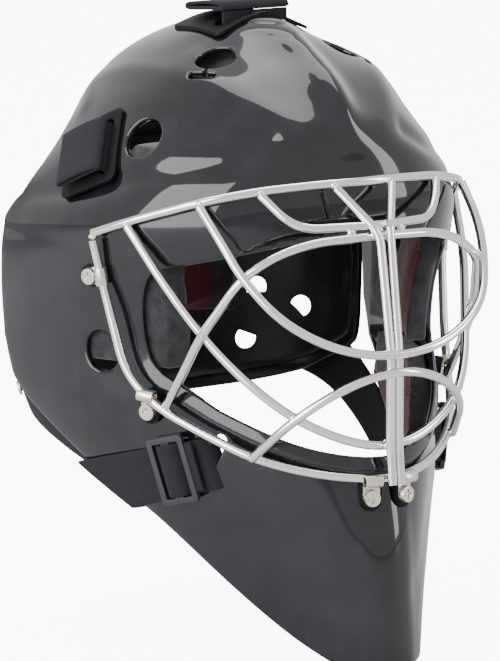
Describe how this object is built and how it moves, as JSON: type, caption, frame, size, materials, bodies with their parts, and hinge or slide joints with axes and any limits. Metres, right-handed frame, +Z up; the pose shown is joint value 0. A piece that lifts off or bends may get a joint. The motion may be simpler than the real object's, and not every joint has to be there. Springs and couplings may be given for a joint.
{
  "type": "goalie mask",
  "caption": "Ice hockey goalie mask: vented moulded shell with a welded wire cage over the face port, foam liner, swinging back plate and adjustable webbing harness.",
  "frame": {"origin": "inside the head cavity on the plane of symmetry, about level with the cheek line of the face port", "axes": "+Z up to the crown, the face looks along -Y, X across the mask"},
  "size_m": [0.2144, 0.2382, 0.3072],
  "materials": {
    "shell": "high gloss black moulded composite",
    "cage_wire": "polished stainless wire",
    "clip_steel": "bright zinc plated sheet",
    "clip_rubber": "matt black",
    "liner": "black cloth over foam",
    "liner_mesh": "dark red spacer mesh over foam",
    "sweatband": "black brushed knit",
    "back_plate": "satin black moulded",
    "rivet": "satin",
    "webbing": "woven black webbing",
    "slider": "moulded black",
    "hook_plastic": "moulded black"
  },
  "bodies": {
    "mask": {"cage_top_bar": "cage_wire", "cage_lower_bar": "cage_wire", "cage_brow_wire": "cage_wire", "cage_eye_wire": "cage_wire", "cage_upper_hoop": "cage_wire", "cage_lower_hoop": "cage_wire", "cage_chin_wire": "cage_wire", "cage_centre_wires": "cage_wire", "cage_clips": "clip_steel", "clip_screws": "clip_steel", "clip_nuts": "clip_steel", "clip_pads": "clip_rubber", "shell": "shell", "forehead_pad": "liner", "sweatband": "sweatband", "crown_pad": "liner", "temple_pad_right": "liner_mesh", "jaw_pad_right": "liner", "temple_pad_left": "liner_mesh", "jaw_pad_left": "liner", "chin_pad": "liner", "lower_webbing_right": "webbing", "lower_webbing_left": "webbing", "webbing_in_slots": "webbing", "hook_plates": "hook_plastic"},
    "back_plate": {"back_plate": "back_plate", "back_plate_pad": "liner_mesh", "plate_rivets": "rivet", "top_strap": "webbing", "upper_strap_right": "webbing", "upper_strap_left": "webbing", "lower_strap_right": "webbing", "lower_strap_left": "webbing"},
    "slider_right": {"strap_slider_right": "slider"},
    "slider_left": {"strap_slider_left": "slider"},
    "top_tab": {"top_tab": "webbing"},
    "upper_tab_right": {"upper_tab_right": "webbing"},
    "upper_tab_left": {"upper_tab_left": "webbing"}
  },
  "joints": [
    {"name": "back_plate_swing", "type": "hinge", "parent": "mask", "child": "back_plate", "pos_m": [0, 0.052, 0.15], "axis": [1, 0, 0], "range_deg": [0, 28], "stiffness_Nm_per_rad": 1.2, "deforming": ["top_strap", "upper_strap_right", "upper_strap_left", "lower_strap_right", "lower_strap_left"]},
    {"name": "slider_right_slide", "type": "slide", "parent": "mask", "child": "slider_right", "axis": [-0.3943, 0.8851, -0.2471], "range_m": [-0.006, 0.006]},
    {"name": "slider_left_slide", "type": "slide", "parent": "mask", "child": "slider_left", "axis": [0.3943, 0.8851, -0.2471], "range_m": [-0.006, 0.006]},
    {"name": "top_tab_peel", "type": "hinge", "parent": "mask", "child": "top_tab", "pos_m": [0, -0.004, 0.1598], "axis": [1, 0, 0], "range_deg": [0, 100]},
    {"name": "upper_tab_right_peel", "type": "hinge", "parent": "mask", "child": "upper_tab_right", "pos_m": [-0.08554, -0.00367, 0.09921], "axis": [0.4206, 0.4777, 0.7713], "range_deg": [0, 100]},
    {"name": "upper_tab_left_peel", "type": "hinge", "parent": "mask", "child": "upper_tab_left", "pos_m": [0.08554, -0.00367, 0.09921], "axis": [0.4206, -0.4777, -0.7713], "range_deg": [0, 100]}
  ]
}
